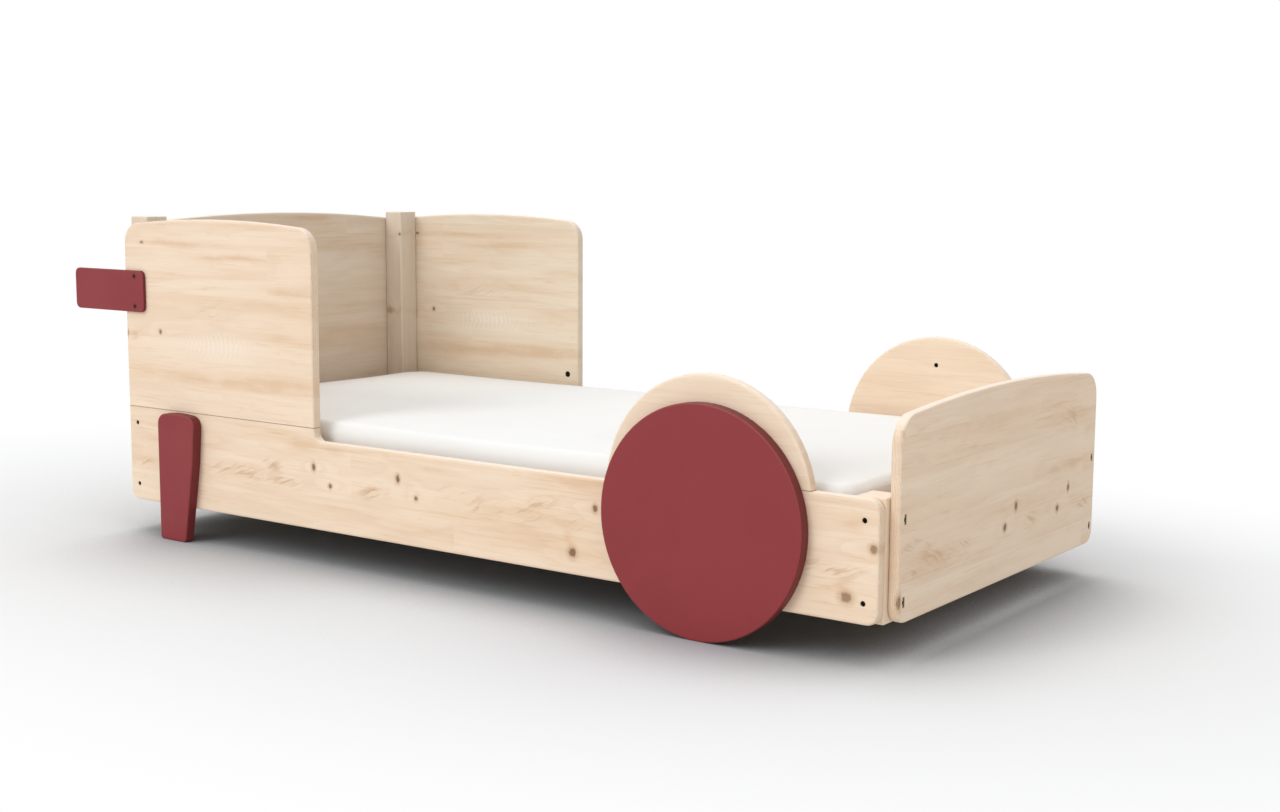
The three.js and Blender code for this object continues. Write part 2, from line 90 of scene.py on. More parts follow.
class Tree:
    """Short calls for building a node tree from left to right."""

    def __init__(self, tree):
        self.tree = tree

    def put(self, socket, value):
        """Link a socket to another, or set it to a plain value; None leaves it alone."""
        if isinstance(value, bpy.types.NodeSocket):
            self.tree.links.new(value, socket)
        elif value is not None:
            socket.default_value = value

    def node(self, kind, values=None, **settings):
        made = self.tree.nodes.new(kind)
        for name, value in settings.items():
            setattr(made, name, value)
        for key, value in (values or {}).items():
            self.put(made.inputs[key], value)
        return made

    def math(self, operation, a, b=None, c=None):
        made = self.node("ShaderNodeMath", operation=operation)
        for socket, value in zip(made.inputs, (a, b, c)):
            self.put(socket, value)
        return made.outputs[0]

    def vector(self, operation, a, b=None, c=None):
        made = self.node("ShaderNodeVectorMath", operation=operation)
        for socket, value in zip(made.inputs, (a, b, c)):
            self.put(socket, value)
        return made.outputs["Value" if operation in ("LENGTH", "DOT_PRODUCT") else "Vector"]

    def ramp(self, value, low, high, to_low=0.0, to_high=1.0):
        """A smooth step between two limits, which may also run downwards."""
        made = self.node("ShaderNodeMapRange", {
            "Value": value, "From Min": low, "From Max": high, "To Min": to_low, "To Max": to_high,
        }, interpolation_type="SMOOTHSTEP")
        return made.outputs["Result"]

    def mix(self, share, a, b, blend="MIX"):
        """Two colours; 0, 6 and 7 are the mix node's sockets for them, and 2 its result."""
        made = self.node("ShaderNodeMix", data_type="RGBA", blend_type=blend)
        for index, value in ((0, share), (6, a), (7, b)):
            self.put(made.inputs[index], value)
        return made.outputs[2]

    def noise(self, place, scale, detail=2, roughness=0.5, output="Fac"):
        """Noise with one scale, or with one for each direction."""
        if isinstance(scale, tuple):
            place = self.scaled(place, scale)
            scale = 1
        made = self.node("ShaderNodeTexNoise", {
            "Vector": place, "Scale": scale, "Detail": detail, "Roughness": roughness,
        })
        return made.outputs[output]

    def luck(self, number, output):
        """A random value, or three as a colour, that depends on one number alone."""
        made = self.node("ShaderNodeTexWhiteNoise", {"W": number}, noise_dimensions="1D")
        return made.outputs[output]

    def falloff(self, square):
        """From 1 down to 0 as the square of a distance grows, like a bell."""
        return self.math("POWER", math.e, self.math("MULTIPLY", square, -1))

    def split(self, vector):
        return self.node("ShaderNodeSeparateXYZ", {0: vector}).outputs

    def join(self, x, y, z):
        return self.node("ShaderNodeCombineXYZ", {0: x, 1: y, 2: z}).outputs[0]

    def scaled(self, vector, scale):
        return self.vector("MULTIPLY", vector, scale)


def new_group(name, inputs, outputs):
    """A node group; inputs and outputs map each label to its kind of socket."""
    group = bpy.data.node_groups.new(name, "ShaderNodeTree")
    for label, kind in inputs.items():
        group.interface.new_socket(label, in_out="INPUT", socket_type=kind)
    for label, kind in outputs.items():
        group.interface.new_socket(label, in_out="OUTPUT", socket_type=kind)
    tree = Tree(group)
    start = tree.node("NodeGroupInput").outputs
    end = tree.node("NodeGroupOutput").inputs
    return tree, start, end


def new_material(name):
    material = bpy.data.materials.new(name)
    material.use_nodes = True
    tree = Tree(material.node_tree)
    surface = next(n for n in material.node_tree.nodes if n.type == "BSDF_PRINCIPLED")
    return material, tree, surface.inputs


# Rounded edges

EDGE_ROUNDING = 0.0025
EDGE_SAMPLES = 4
ARRIS_TURN = (0.995, 0.93, 0.0, 0.8)


def rounded(tree):
    """The normal, with the narrow facets of the arrises softened."""
    return tree.node("ShaderNodeBevel", {"Radius": EDGE_ROUNDING}, samples=EDGE_SAMPLES).outputs[0]


def rounded_bump(tree, height, strength, distance):
    """Bump over a surface whose arrises are softened."""
    bump = tree.node("ShaderNodeBump", {
        "Strength": strength, "Distance": distance, "Height": height, "Normal": rounded(tree),
    })
    return bump.outputs[0]


def arris(tree):
    """How much a place lies on a rounded arris, from 0 on a flat face to 0.8."""
    face = tree.node("ShaderNodeNewGeometry").outputs["True Normal"]
    return tree.ramp(tree.vector("DOT_PRODUCT", rounded(tree), face), *ARRIS_TURN)


# Pine

PALE = (0.885, 0.721, 0.556, 1)
PALEST = (0.95, 0.83, 0.71, 1)
WARM = (0.76, 0.536, 0.350, 1)
LATE_WOOD = (0.66, 0.45, 0.29, 1)
END_GRAIN = (0.68, 0.52, 0.36, 1)
PINE_BUMP = (0.35, 0.0004)
PINE_GLOSS = 0.4

# Knots. Edges and the reach of the pull are counted in the knot's own half sizes
KNOT_CORE = (0.19, 0.090, 0.038, 1)
KNOT_RIM = (0.52, 0.315, 0.165, 1)
KNOT_CORE_SHARE = 0.9
KNOT_RIM_SHARE = 0.6
KNOT_CORE_EDGE = (1.2, 0.6)
KNOT_RIM_EDGE = (2.4, 0.7)
KNOT_WOBBLE = 0.9
KNOT_WOBBLE_NOISE = (150, 3)
KNOT_PULL_FADE = (0.12, 0.38, 0.38)

# Staves: the strips that a board is glued from. Each takes its grain from another place in
# the noises, as each board does by its seed
STAVE_WIDTH = 0.105
STAVE_LENGTH = 1.3
STAVE_NUMBER_STEP = 0.37
STAVE_WARMTH = 0.16
STAVE_SHIFT = (3, 3, 3)
SEED_SHIFT = (1.0, 0.37, 0.71)

# Growth rings round a pith behind each stave: where the pith lies, how far the noises bend
# the rings, in metres, and how much of the late wood shows between limits of the slow noise
PITH_SPREAD = 0.09
PITH_DEPTH = 0.035
PITH_DEPTH_SPREAD = 0.06
RING_STEP = 0.0052
RING_RISE = (0.3, 0.88)
RING_END = (1.0, 0.9)
RING_BENDS = {"slow": 0.035, "fine": 0.0028, "curl": 0.010}
RING_SHARE = (0.3, 0.7, 0.05, 0.20)

# Noises of the grain: scale along, across and through the board, detail, roughness
GRAIN_NOISES = {
    "slow": ((1.3, 9, 9), 2),
    "fine": ((7, 60, 60), 2),
    "curl": ((19, 34, 34), 2),
    "streak": ((2.2, 34, 34), 4, 0.6),
    "patch": ((1.1, 8, 8), 2),
    "hair": ((3.5, 210, 210), 3, 0.6),
    "dash": ((9, 150, 150), 3, 0.6),
    "dash field": ((3, 20, 20), 2),
    "fibre": ((22, 1300, 1300), 2),
    "figure": ((16, 38, 38), 2, 0.6),
}

# Warmth, from 0 (pale) to 1 (warm): limits of a noise and the warmth at both of them
WARMING = {
    "streak": (0.42, 0.72, 0, 0.32),
    "patch": (0.42, 0.68, 0, 0.26),
    "hair": (0.45, 0.75, -0.03, 0.14),
    "figure": (0.6, 0.75, 0, 0.16),
}
DASH_EDGE = (0.52, 0.68)
DASH_WARMTH = (0.40, 0.62, 0.07, 0.40)
STAIN_UNEVENNESS = (0.2, 0.6, 0.55, 1.25)
CURL_WARMTH = 0.18

# Short slanting strokes of late wood where the grain curls
STROKE_NOISE = ((15, 115, 20), 1, 0.4)
STROKE_WAVE = (0, 0.02, 0)
STROKE_EDGE = (0.51, 0.61)
STROKE_SHARE = 0.75
STROKE_SLANT = math.radians(-22)

# Pale nested arches
ARCH_STEP = 0.0150
ARCH_BEND = 18
ARCH_FINE_WAVE = 0.014
ARCH_FIGURE_WAVE = 0.022
ARCH_PALENESS = (-1, 1, 0.34, 0.66)

# Fibres, end grain, and what the grain does to height and roughness
FIBRE_TONE = (0.2, 0.8, 0.97, 1.02)
FIBRE_ROUGHNESS = (0.2, 0.8, 0.50, 0.58)
FIBRE_HEIGHT = 0.5
RING_HEIGHT = 0.35
RING_GLOSS = -0.05
KNOT_HEIGHT = -0.6
END_FACING = (0.55, 0.9)
END_SHARE = 0.12
END_RING_SHARE = 0.3

# Marks: how stains and curls lose their outlines, seams, and the painted shade of slots round bolts
MARK_JITTER_SCALE = (7, 30, 30)
MARK_JITTER = (0.08, 0.016, 0)
SEAM = (0.20, 0.13, 0.08, 1)
SEAM_EDGE = (0.0019, 0.0004, 0.0, 0.9)
SLOT_SHADE = (0.17, 0.100, 0.050, 1)
SLOT_SHADE_EDGE = (1.15, 0.85)

# Painted highlight: paler wood on faces that look up, and a little of it on the other arrises
TOP_HIGHLIGHT = (0.25, 0.85, 0.0, 0.7)
ARRIS_HIGHLIGHT = 0.3

# Kinds of socket
NUMBER = "NodeSocketFloat"
VECTOR = "NodeSocketVector"
COLOR = "NodeSocketColor"


def make_knot_group():
    """One knot: a dark core, a brown rim, and rings that bend round it."""
    tree, start, end = new_group(
        "knot",
        {"Place": VECTOR, "Centre": VECTOR, "Stretch": VECTOR, "Radius": NUMBER, "Dark": NUMBER,
         "Core": NUMBER, "Rim": NUMBER, "Pull": NUMBER},
        {"Core": NUMBER, "Rim": NUMBER, "Pull": NUMBER},
    )
    away = tree.vector("SUBTRACT", start["Place"], start["Centre"])
    wobble = tree.math("SUBTRACT", tree.noise(start["Place"], *KNOT_WOBBLE_NOISE), 0.5)
    share = tree.vector("LENGTH", tree.scaled(away, start["Stretch"]))
    uneven = tree.math("MULTIPLY_ADD", wobble, KNOT_WOBBLE, share)
    core = tree.math("MULTIPLY", tree.ramp(uneven, *KNOT_CORE_EDGE), start["Dark"])
    rim = tree.ramp(uneven, *KNOT_RIM_EDGE)
    reach = tree.scaled(away, tree.scaled(start["Stretch"], KNOT_PULL_FADE))
    pull = tree.falloff(tree.vector("DOT_PRODUCT", reach, reach))
    tree.put(end["Core"], tree.math("MAXIMUM", start["Core"], core))
    tree.put(end["Rim"], tree.math("MAXIMUM", start["Rim"], rim))
    tree.put(end["Pull"], tree.math("MULTIPLY_ADD", pull, start["Radius"], start["Pull"]))
    return tree.tree


def make_spot_group():
    """Adds an amount that fades away from one place on the board."""
    tree, start, end = new_group(
        "spot",
        {"Place": VECTOR, "Centre": VECTOR, "Sharpness": VECTOR, "Amount": NUMBER, "Sum": NUMBER},
        {"Sum": NUMBER},
    )
    away = tree.scaled(tree.vector("SUBTRACT", start["Place"], start["Centre"]), start["Sharpness"])
    fall = tree.falloff(tree.vector("DOT_PRODUCT", away, away))
    tree.put(end["Sum"], tree.math("MULTIPLY_ADD", fall, start["Amount"], start["Sum"]))
    return tree.tree


def find_stave(tree, place, seed):
    """Three random numbers of the stave at a place, and how far the place is from its middle."""
    along, across, through = tree.split(place)
    across = tree.math("ADD", across, seed)
    stave = tree.math("FLOOR", tree.math("DIVIDE", across, STAVE_WIDTH))
    row = tree.math("ADD", stave, seed)
    joint = tree.luck(row, "Value")
    length = tree.math("FLOOR", tree.math("ADD", tree.math("DIVIDE", along, STAVE_LENGTH), joint))
    luck = tree.luck(tree.math("MULTIPLY_ADD", length, STAVE_NUMBER_STEP, row), "Color")
    middle = tree.math("MULTIPLY", tree.math("ADD", stave, 0.5), STAVE_WIDTH)
    return luck, tree.math("SUBTRACT", across, middle)


def growth_rings(tree, start, noises, luck, from_middle):
    """Late wood of the year rings, from 0 to 1."""
    through = tree.split(start["Place"])[2]
    luck = tree.split(luck)
    pith_across = tree.math("MULTIPLY", tree.math("SUBTRACT", luck[0], 0.5), PITH_SPREAD)
    pith_depth = tree.math("MULTIPLY_ADD", luck[1], PITH_DEPTH_SPREAD, PITH_DEPTH)
    across = tree.math("ADD", from_middle, pith_across)
    radius = tree.vector("LENGTH", tree.join(across, tree.math("ADD", through, pith_depth), 0))
    bends = {**noises, "curl": tree.math("MULTIPLY", noises["curl"], start["Curl"])}
    for name, amount in RING_BENDS.items():
        radius = tree.math("MULTIPLY_ADD", bends[name], amount, radius)
    radius = tree.math("ADD", radius, start["Pull"])
    turn = tree.math("FRACT", tree.math("DIVIDE", radius, RING_STEP))
    return tree.math("MULTIPLY", tree.ramp(turn, *RING_RISE), tree.ramp(turn, *RING_END))


def curl_strokes(tree, start, place, curl):
    """Slanting strokes, from 0 to 1, where the board has curls."""
    wave = tree.vector("MULTIPLY_ADD", tree.join(0, curl, 0), STROKE_WAVE, place)
    slanted = tree.node("ShaderNodeVectorRotate", {
        "Vector": wave, "Angle": start["Slant"],
    }, rotation_type="Z_AXIS").outputs[0]
    stroke = tree.ramp(tree.noise(slanted, *STROKE_NOISE), *STROKE_EDGE)
    return tree.math("MULTIPLY", stroke, start["Curl"])


def warmth_of_wood(tree, start, noises, luck):
    """Streaks, patches, hairlines, dashes, stains and curls, and each stave's own warmth."""
    warmth = tree.math("MULTIPLY", tree.math("SUBTRACT", tree.split(luck)[2], 0.5), STAVE_WARMTH)
    for name, limits in WARMING.items():
        warmth = tree.math("ADD", warmth, tree.ramp(noises[name], *limits))
    field = tree.ramp(noises["dash field"], *DASH_WARMTH)
    warmth = tree.math("MULTIPLY_ADD", tree.ramp(noises["dash"], *DASH_EDGE), field, warmth)
    unevenness = tree.ramp(noises["figure"], *STAIN_UNEVENNESS)
    warmth = tree.math("MULTIPLY_ADD", start["Stain"], unevenness, warmth)
    return tree.math("MULTIPLY_ADD", start["Curl"], CURL_WARMTH, warmth)


def pale_arches(tree, start, noises):
    """How much of the palest wood the nested arches show."""
    along, across, through = tree.split(start["Arch place"])
    bend = tree.math("MULTIPLY", tree.math("MULTIPLY", across, across), ARCH_BEND)
    run = tree.math("ADD", along, bend)
    run = tree.math("MULTIPLY_ADD", noises["fine"], ARCH_FINE_WAVE, run)
    run = tree.math("MULTIPLY_ADD", noises["figure"], ARCH_FIGURE_WAVE, run)
    wave = tree.math("SINE", tree.math("MULTIPLY", run, 2 * math.pi / ARCH_STEP))
    return tree.math("MULTIPLY", start["Arch"], tree.ramp(wave, *ARCH_PALENESS))


def make_grain_group():
    """Pine in a board's own directions: x along the grain, y across it, z through the board."""
    tree, start, end = new_group(
        "pine grain",
        {"Place": VECTOR, "Seed": NUMBER, "End": NUMBER, "Core": NUMBER, "Rim": NUMBER, "Pull": NUMBER,
         "Stain": NUMBER, "Curl": NUMBER, "Arch": NUMBER, "Arch place": VECTOR, "Seam": NUMBER,
         "Slant": NUMBER, "Shade tone": COLOR},
        {"Color": COLOR, "Height": NUMBER, "Roughness": NUMBER},
    )
    seed = start["Seed"]
    luck, from_middle = find_stave(tree, start["Place"], seed)
    shift = tree.scaled(tree.join(seed, seed, seed), SEED_SHIFT)
    shift = tree.vector("ADD", shift, tree.scaled(luck, STAVE_SHIFT))
    place = tree.vector("ADD", start["Place"], shift)
    noises = {name: tree.noise(place, *settings) for name, settings in GRAIN_NOISES.items()}
    ring = growth_rings(tree, start, noises, luck, from_middle)

    color = tree.mix(warmth_of_wood(tree, start, noises, luck), PALE, WARM)
    dark = tree.math("MULTIPLY", ring, tree.ramp(noises["slow"], *RING_SHARE))
    stroke = curl_strokes(tree, start, place, noises["curl"])
    color = tree.mix(tree.math("MULTIPLY_ADD", stroke, STROKE_SHARE, dark), color, LATE_WOOD)
    color = tree.mix(pale_arches(tree, start, noises), color, PALEST)
    tone = tree.ramp(noises["fibre"], *FIBRE_TONE)
    color = tree.mix(1, color, tree.join(tone, tone, tone), "MULTIPLY")
    end_ring = tree.math("MULTIPLY", start["End"], ring)
    for share, most, coat in (
        (start["End"], END_SHARE, END_GRAIN), (end_ring, END_RING_SHARE, LATE_WOOD),
        (start["Rim"], KNOT_RIM_SHARE, KNOT_RIM), (start["Core"], KNOT_CORE_SHARE, KNOT_CORE),
    ):
        color = tree.mix(tree.math("MULTIPLY", share, most), color, coat)
    color = tree.mix(start["Seam"], color, SEAM)
    # Painted shade: the board's tone makes a board that stands in shade darker and cooler
    tree.put(end["Color"], tree.mix(1, color, start["Shade tone"], "MULTIPLY"))

    height = tree.math("MULTIPLY", noises["fibre"], FIBRE_HEIGHT)
    height = tree.math("MULTIPLY_ADD", ring, RING_HEIGHT, height)
    tree.put(end["Height"], tree.math("MULTIPLY_ADD", start["Core"], KNOT_HEIGHT, height))
    rough = tree.ramp(noises["fibre"], *FIBRE_ROUGHNESS)
    tree.put(end["Roughness"], tree.math("MULTIPLY_ADD", ring, RING_GLOSS, rough))
    return tree.tree


knot_group = make_knot_group()
spot_group = make_spot_group()
grain_group = make_grain_group()


def knots(tree, place, board):
    """Core, rim and pull of all knots of a board together."""
    depth = board.get("knot_depth")
    weight = 0 if depth is None else 1
    state = {"Core": 0, "Rim": 0, "Pull": 0}
    for along, across, half_length, half_height, dark in board["knots"]:
        knot = tree.node("ShaderNodeGroup", {
            "Place": place, "Centre": (along, across, depth or 0),
            "Stretch": (1 / half_length, 1 / half_height, weight / half_length),
            "Radius": math.sqrt(half_length * half_height), "Dark": dark, **state,
        }, node_tree=knot_group)
        state = {key: knot.outputs[key] for key in state}
    return state


def spots(tree, place, marks):
    """The sum of soft spots, each (along, across, half length, half height, amount)."""
    total = 0
    for along, across, half_length, half_height, amount in marks:
        spot = tree.node("ShaderNodeGroup", {
            "Place": place, "Centre": (along, across, 0),
            "Sharpness": (1 / half_length, 1 / half_height, 0), "Amount": amount, "Sum": total,
        }, node_tree=spot_group)
        total = spot.outputs["Sum"]
    return total


def distance_from(tree, value, middle):
    return tree.math("ABSOLUTE", tree.math("SUBTRACT", value, middle))


def slot_shades(tree, place, board):
    """Painted shade in upright slots round the bolts, each (along, across, half length, half height)."""
    total = 0
    along, across, through = tree.split(place)
    for middle, height, half_length, half_height in board.get("slot_shades", []):
        beside = tree.math("DIVIDE", distance_from(tree, along, middle), half_length)
        above = tree.math("DIVIDE", distance_from(tree, across, height), half_height)
        slot = tree.ramp(tree.math("MAXIMUM", beside, above), *SLOT_SHADE_EDGE)
        total = tree.math("MAXIMUM", total, slot)
    return total


def seams(tree, place, board):
    """Shaded lines where the board stands on the one below, each (across, from, to)."""
    total = 0
    along, across, through = tree.split(place)
    for height, start, end in board.get("seams", []):
        line = tree.ramp(distance_from(tree, across, height), *SEAM_EDGE)
        line = tree.math("MULTIPLY", line, tree.math("GREATER_THAN", along, start))
        line = tree.math("MULTIPLY", line, tree.math("LESS_THAN", along, end))
        total = tree.math("ADD", total, line)
    return total


def pine(name, board, seed, flipped, tone):
    """Lacquered pine whose grain, knots and marks follow one board of the list BOARDS."""
    along, across = board["along"], board["across"]
    through = X + Y + Z - along - across
    material, tree, surface = new_material(name)
    coordinates = tree.node("ShaderNodeTexCoord").outputs
    facing = tree.split(coordinates["Normal"])
    place = list(tree.split(coordinates["Object"]))
    if flipped:
        place[along] = tree.math("SUBTRACT", board["flip"], place[along])
    place = tree.join(place[along], place[across], place[through])
    jitter = tree.vector("SUBTRACT", tree.noise(place, MARK_JITTER_SCALE, output="Color"), (0.5, 0.5, 0.5))
    loose = tree.vector("ADD", place, tree.scaled(jitter, MARK_JITTER))
    arches = board.get("arches", [])
    arch_middle = (*arches[0][:2], 0) if arches else (0, 0, 0)
    grain = tree.node("ShaderNodeGroup", {
        "Place": place, "Seed": seed, "Shade tone": tone, **knots(tree, place, board),
        "End": tree.ramp(tree.math("ABSOLUTE", facing[along]), *END_FACING),
        "Stain": spots(tree, loose, board.get("stains", [])),
        "Curl": spots(tree, loose, board.get("curls", [])),
        "Arch": spots(tree, loose, arches),
        "Arch place": tree.vector("SUBTRACT", place, arch_middle),
        "Seam": seams(tree, place, board), "Slant": STROKE_SLANT * board.get("slant", 1),
    }, node_tree=grain_group).outputs
    # Painted highlight: the palest wood on faces that look up and on the arrises
    painted_highlight = tree.math("MULTIPLY", arris(tree), ARRIS_HIGHLIGHT)
    painted_highlight = tree.math("MAXIMUM", painted_highlight, tree.ramp(facing[Z], *TOP_HIGHLIGHT))
    color = tree.mix(painted_highlight, grain["Color"], PALEST)
    # Painted shade round the bolts, in the board's slots
    tree.put(surface["Base Color"], tree.mix(slot_shades(tree, place, board), color, SLOT_SHADE))
    tree.put(surface["Roughness"], grain["Roughness"])
    tree.put(surface["Normal"], rounded_bump(tree, grain["Height"], *PINE_BUMP))
    surface["Specular IOR Level"].default_value = PINE_GLOSS
    return material


# Paint

RED = (0.262, 0.036, 0.040, 1)
RED_DEEP = (0.250, 0.0335, 0.0375, 1)
# Painted highlight on upper arrises, then painted shade on the sides of a board
RED_HIGHLIGHT = (0.44, 0.105, 0.105, 1)
RED_SIDE_SHADE = (0.173, 0.0235, 0.026, 1)
RED_SHADE = (0.03, 0.006, 0.006, 1)
SCREW_SHADE = (0.0055, 0.0055, 1.2)
SIDE_SHADE_FACING = (0.8, 0.4)
HIGHLIGHT_FACING = (-0.1, 0.3, 0.3, 1.0)
CLOUD_NOISE = (9, 3)
CLOUD_EDGE = (0.35, 0.7)
CLOUD_ROUGHNESS = (0.3, 0.7, 0.42, 0.5)
PEEL_NOISE = (420, 2)
PEEL_HEIGHT = 0.5
BRUSH_NOISE = ((18, 160, 160), 2)
BRUSH_HEIGHT = 0.25
PAINT_BUMP = (0.18, 0.0003)
PAINT_GLOSS = 0.25


def screw_shades(tree, place):
    """Shade in the mouths of the bars' screws, near and far."""
    boxes = [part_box(name) for name in nodes if name.startswith("bar_screw_near")]
    middles = [(low + high) / 2 for low, high in boxes]
    x, y, z = tree.split(place)
    return spots(tree, tree.join(x, z, 0), [(middle.x, middle.z, *SCREW_SHADE) for middle in middles])


def red_paint():
    """Satin paint on board: cloudy, with painted shade deepening the sides of a board and a painted
    highlight on its upper arrises.
    """
    material, tree, surface = new_material("red_paint")
    coordinates = tree.node("ShaderNodeTexCoord").outputs
    place = coordinates["Object"]
    facing = tree.split(coordinates["Normal"])
    cloud = tree.noise(place, *CLOUD_NOISE)
    paint = tree.mix(tree.ramp(cloud, *CLOUD_EDGE), RED, RED_DEEP)
    # Painted shade: a deeper red on the sides of a board, the faces that don't look along Y
    side_shade = tree.ramp(tree.math("ABSOLUTE", facing[Y]), *SIDE_SHADE_FACING)
    paint = tree.mix(side_shade, paint, RED_SIDE_SHADE)
    # Painted highlight: a paler red on arrises that look up
    painted_highlight = tree.math("MULTIPLY", arris(tree), tree.ramp(facing[Z], *HIGHLIGHT_FACING))
    paint = tree.mix(painted_highlight, paint, RED_HIGHLIGHT)
    tree.put(surface["Base Color"], tree.mix(screw_shades(tree, place), paint, RED_SHADE))
    tree.put(surface["Roughness"], tree.ramp(cloud, *CLOUD_ROUGHNESS))
    brushed = tree.math("MULTIPLY", tree.noise(place, *BRUSH_NOISE), BRUSH_HEIGHT)
    height = tree.math("MULTIPLY_ADD", tree.noise(place, *PEEL_NOISE), PEEL_HEIGHT, brushed)
    tree.put(surface["Normal"], rounded_bump(tree, height, *PAINT_BUMP))
    surface["Specular IOR Level"].default_value = PAINT_GLOSS
    return material


# Steel

STEEL = (0.014, 0.010, 0.008, 1)
STEEL_WORN = (0.045, 0.033, 0.026, 1)
GRIME_NOISE = (700, 3)
GRIME_EDGE = (0.55, 0.75)
GRIME_ROUGHNESS = (0.3, 0.7, 0.4, 0.6)
STEEL_METALLIC = 0.7
STEEL_GLOSS = 0.2


def dark_steel():
    """Browned steel of bolts, screws and cams."""
    material, tree, surface = new_material("dark_steel")
    grime = tree.noise(tree.node("ShaderNodeTexCoord").outputs["Object"], *GRIME_NOISE)
    tree.put(surface["Base Color"], tree.mix(tree.ramp(grime, *GRIME_EDGE), STEEL, STEEL_WORN))
    tree.put(surface["Roughness"], tree.ramp(grime, *GRIME_ROUGHNESS))
    surface["Metallic"].default_value = STEEL_METALLIC
    surface["Specular IOR Level"].default_value = STEEL_GLOSS
    return material


# Mattress cover

COVER = (0.90, 0.90, 0.885, 1)
COVER_SHADE = (0.86, 0.86, 0.845, 1)
COVER_SETTINGS = {
    "Roughness": 0.92, "Specular IOR Level": 0.2, "Sheen Weight": 0.12, "Sheen Roughness": 0.5,
}
COVER_BUMP = {"Strength": 0.25, "Distance": 0.0004}
WEAVE_STEP = 0.0016
WEAVE_SHADE = (-1.0, 1.0, 0.3, 0.0)
WEAVE_HEIGHT = 0.4
FUZZ_NOISE = (900, 3)
UNEVEN_NOISE = (5, 3)
UNEVEN_SHADE = (0.35, 0.7, 0, 0.35)


def cover_cloth():
    """White knitted cover: a fine weave, with soft fuzz and faint unevenness."""
    material, tree, surface = new_material("mattress_cover")
    place = tree.node("ShaderNodeTexCoord").outputs["Object"]
    x, y, z = tree.split(place)
    pitch = 2 * math.pi / WEAVE_STEP
    warp = tree.math("SINE", tree.math("MULTIPLY", x, pitch))
    weft = tree.math("SINE", tree.math("MULTIPLY", tree.math("ADD", y, z), pitch))
    weave = tree.math("MULTIPLY", warp, weft)
    uneven = tree.ramp(tree.noise(place, *UNEVEN_NOISE), *UNEVEN_SHADE)
    shade = tree.math("ADD", uneven, tree.ramp(weave, *WEAVE_SHADE))
    tree.put(surface["Base Color"], tree.mix(shade, COVER, COVER_SHADE))
    height = tree.math("MULTIPLY_ADD", weave, WEAVE_HEIGHT, tree.noise(place, *FUZZ_NOISE))
    bump = tree.node("ShaderNodeBump", {**COVER_BUMP, "Height": height})
    tree.put(surface["Normal"], bump.outputs[0])
    for name, value in COVER_SETTINGS.items():
        surface[name].default_value = value
    return material
